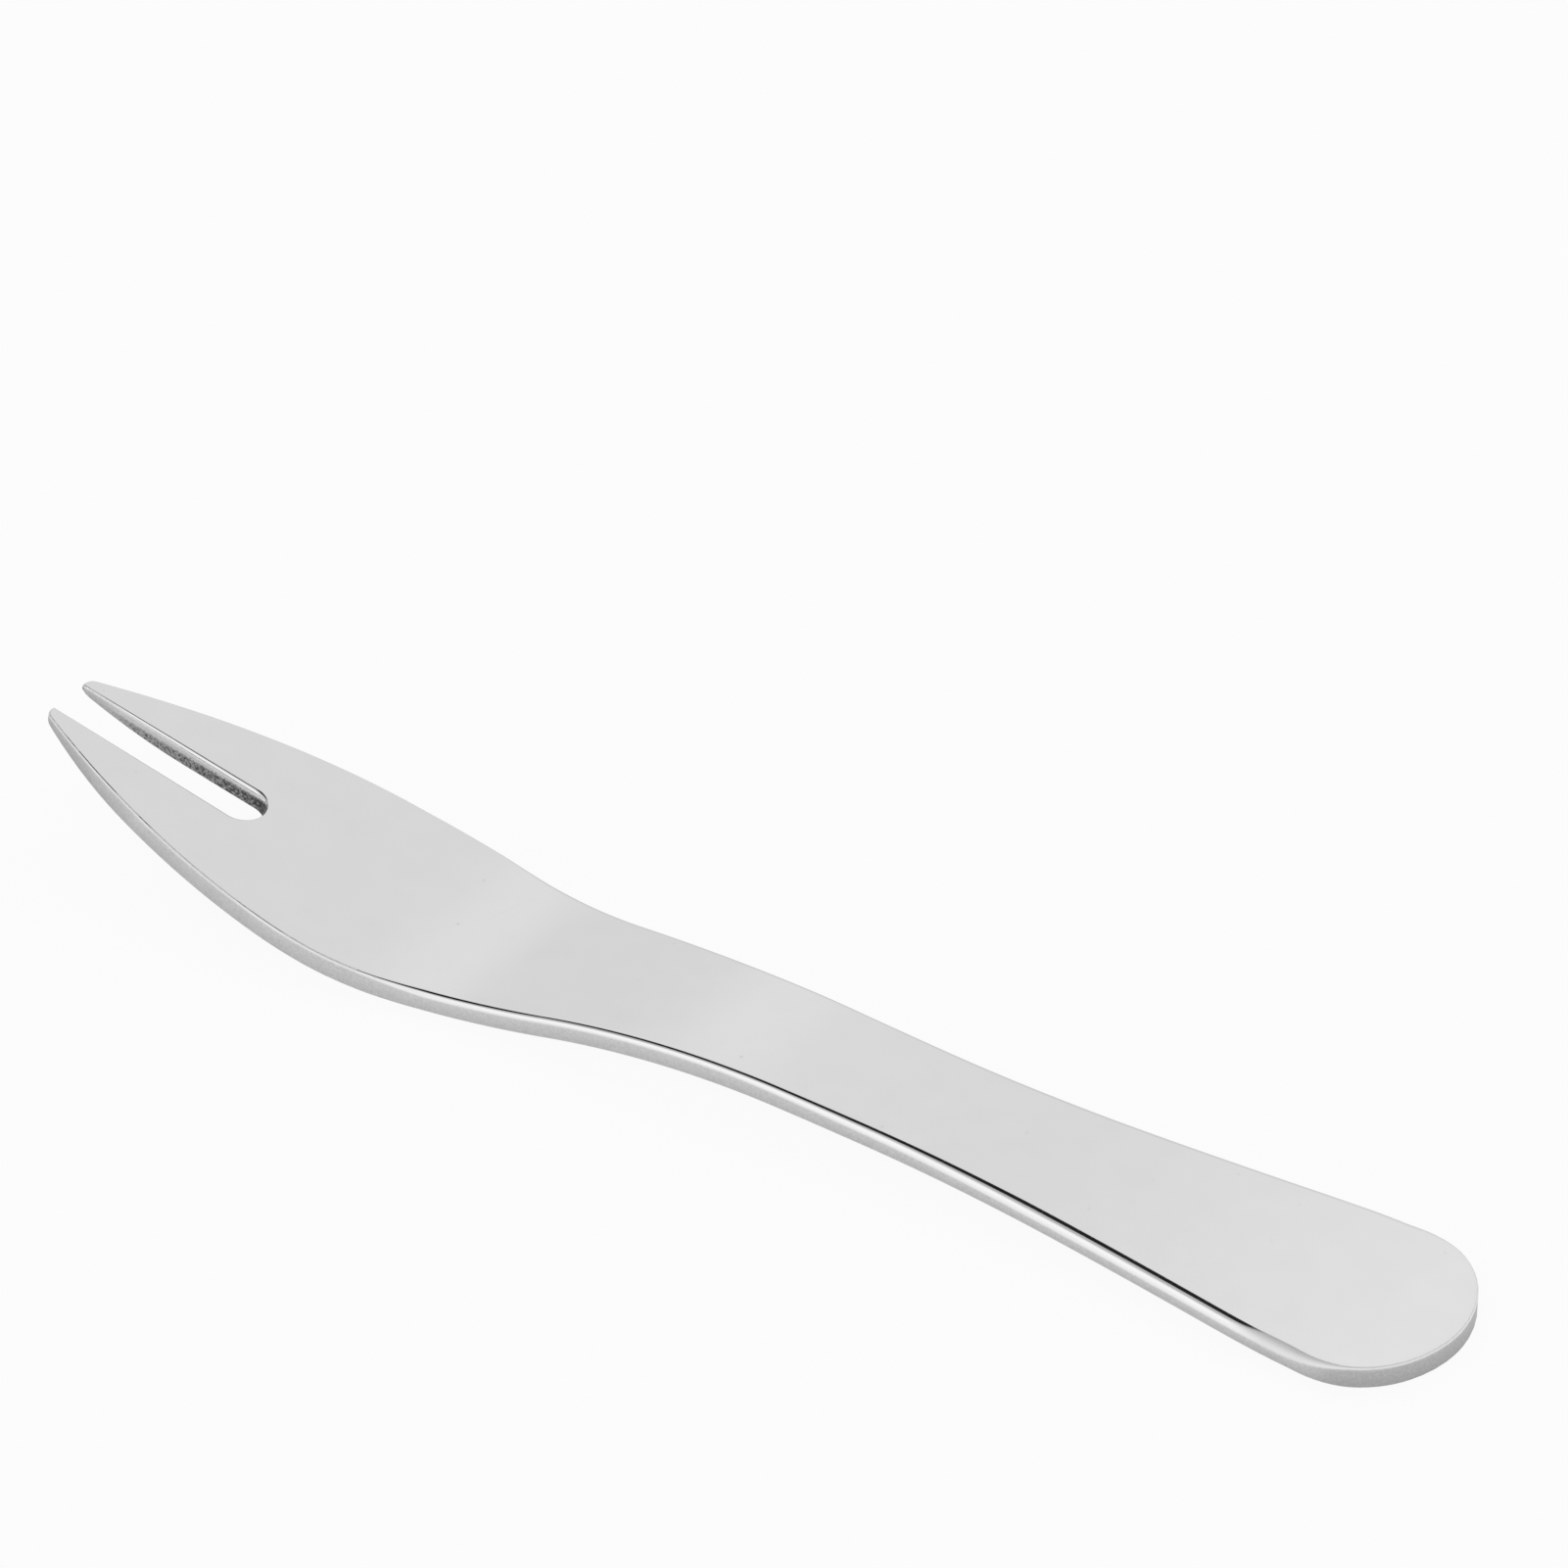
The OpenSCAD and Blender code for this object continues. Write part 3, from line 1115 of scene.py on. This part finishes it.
@dataclass
class Studio:
    """The white table, the light around it and the camera."""

    table_radius: float = 4.0
    table_segments: int = 96
    table_colour: str = "#F9F9F9"
    table_glow: float = 0.9
    backdrop: float = 1.0
    around: float = 1.0

    # A panel lies over those before it. The first seven draw what the fork mirrors in
    # the photograph, and the last three are there for the views from other sides.
    panels: tuple[Panel, ...] = (
        Panel((-0.15, -0.83, 0.54), 30.0, 55.0, 1.08),
        Panel((-0.60, -0.32, 0.73), 16.0, 30.0, 0.58),
        Panel((-0.40, -0.03, 0.92), 14.0, 22.0, 0.02),
        Panel((-0.97, 0.05, 0.20), 12.0, 32.0, 0.25),
        Panel((-0.45, 0.88, 0.10), 6.0, 24.0, 0.80),
        Panel((-0.47, 0.655, 0.59), 1.0, 7.5, 1.09),
        Panel((-0.61, 0.65, 0.45), 5.0, 10.0, 0.97),
        Panel((0.10, -0.93, 0.35), 8.0, 26.0, 0.80),
        Panel((0.69, -0.66, 0.26), 8.0, 30.0, 0.72),
        Panel((0.69, 0.10, 0.72), 12.0, 24.0, 0.08),
    )

    # The camera, as it was fitted to the photograph, in degrees, millimetres and pixels.
    view_azimuth: float = 33.752
    view_elevation: float = 37.370
    view_distance: float = 654.5
    pixels_per_mm: float = 12.5774
    origin_pixel: tuple[float, float] = (750.085, 1078.810)
    near_clip: float = 10.0

    def lay_table(self) -> bpy.types.Object:
        """Lay the pale table under the fork.

        Returns:
            The table.
        """
        mesh = bmesh.new()
        bmesh.ops.create_circle(
            mesh, cap_ends=True, segments=self.table_segments, radius=self.table_radius,
        )
        data = bpy.data.meshes.new("table")
        mesh.to_mesh(data)
        mesh.free()
        table = bpy.data.objects.new("table", data)
        bpy.context.scene.collection.objects.link(table)
        data.materials.append(self.table_top())
        return table

    def table_top(self) -> bpy.types.Material:
        """Make the table's white, which keeps a faint shadow.

        Returns:
            Matt white laminate, washed out by its glow where the camera or steel sees it.
        """
        paint = bpy.data.materials.new("matt_white_laminate")
        paint.use_nodes = True
        tree = paint.node_tree
        tree.nodes.clear()
        matt = add_node(tree, "ShaderNodeBsdfDiffuse", None, {"Color": srgb(self.table_colour)})
        glow = add_node(tree, "ShaderNodeEmission", None, {
            "Color": srgb(WHITE), "Strength": 1.0,
        })
        path = add_node(tree, "ShaderNodeLightPath")
        seen = add_node(tree, "ShaderNodeMath", GREATER, {
            0: path.outputs["Is Camera Ray"], 1: path.outputs["Is Glossy Ray"],
        }).outputs[0]
        share = add_node(tree, "ShaderNodeMath", TIMES, {
            0: seen, 1: self.table_glow,
        }).outputs[0]
        white = add_node(tree, "ShaderNodeMixShader", None, {
            0: share, 1: matt.outputs[0], 2: glow.outputs[0],
        })
        add_node(tree, "ShaderNodeOutputMaterial", None, {"Surface": white.outputs[0]})
        return paint

    def light(self) -> None:
        """Surround the table with soft light, which has a few brighter and darker panels."""
        world = bpy.data.worlds.new("studio")
        bpy.context.scene.world = world
        world.use_nodes = True
        tree = world.node_tree
        tree.nodes.clear()
        way = add_node(tree, "ShaderNodeTexCoord").outputs["Generated"]
        level: Socket | float = self.around
        for panel in self.panels:
            aim = Vector(panel.direction).normalized()
            near = add_node(tree, "ShaderNodeVectorMath", {"operation": "DOT_PRODUCT"}, {
                0: way, 1: aim,
            }).outputs["Value"]
            share = add_node(tree, "ShaderNodeMapRange", SMOOTH, {
                "Value": near,
                "From Min": math.cos(math.radians(panel.reach)),
                "From Max": math.cos(math.radians(panel.core)),
            }).outputs[0]
            level = add_node(tree, "ShaderNodeMix", VALUES, {
                0: share, 2: level, 3: panel.level,
            }).outputs[0]
        path = add_node(tree, "ShaderNodeLightPath")
        seen = add_node(tree, "ShaderNodeMix", VALUES, {
            0: path.outputs["Is Camera Ray"], 2: level, 3: self.backdrop,
        }).outputs[0]
        glow = add_node(tree, "ShaderNodeBackground", None, {
            "Color": srgb(WHITE), "Strength": seen,
        })
        add_node(tree, "ShaderNodeOutputWorld", None, {"Surface": glow.outputs[0]})

    def aim_camera(self) -> bpy.types.Object:
        """Set up the camera at the angle of the photograph.

        Returns:
            The camera, which is the scene's.
        """
        azimuth = math.radians(self.view_azimuth)
        elevation = math.radians(self.view_elevation)
        right = Vector((math.cos(azimuth), math.sin(azimuth), 0.0))
        back = Vector((
            math.sin(azimuth) * math.cos(elevation),
            -math.cos(azimuth) * math.cos(elevation),
            math.sin(elevation),
        ))
        up = back.cross(right)
        focal = self.pixels_per_mm * self.view_distance
        across = self.origin_pixel[0] - PHOTO_SIDE / 2
        above = PHOTO_SIDE / 2 - self.origin_pixel[1]
        pan = math.atan2(across, focal)
        tilt = math.atan2(above, math.hypot(focal, across))
        side = right * math.cos(pan) - back * math.sin(pan)
        level = -right * math.sin(pan) - back * math.cos(pan)
        top = up * math.cos(tilt) + level * math.sin(tilt)
        ahead = level * math.cos(tilt) - up * math.sin(tilt)
        lens = bpy.data.cameras.new("camera")
        lens.sensor_width = SENSOR
        lens.lens = SENSOR * focal / PHOTO_SIDE
        lens.clip_start = self.near_clip * MM
        camera = bpy.data.objects.new("camera", lens)
        pose = Matrix((side, top, -ahead)).transposed().to_4x4()
        pose.translation = back * self.view_distance * MM
        camera.matrix_world = pose
        bpy.context.scene.collection.objects.link(camera)
        bpy.context.scene.camera = camera
        return camera


def main() -> None:
    """Build the studio and the fork."""
    logging.basicConfig(level=logging.INFO, format="%(name)s: %(message)s")
    bpy.context.scene.view_settings.view_transform = "Standard"
    studio = Studio()
    camera = studio.aim_camera()
    LOG.info("%s: lens of %.1f mm", camera.name, camera.data.lens)
    studio.light()
    table = studio.lay_table()
    fork = Fork()
    piece = fork.build()
    fork.dress(piece)
    for made in (table, piece):
        LOG.info("%s: %d vertices, %d faces", made.name, len(made.data.vertices),
                 len(made.data.polygons))


if __name__ == "__main__":
    main()
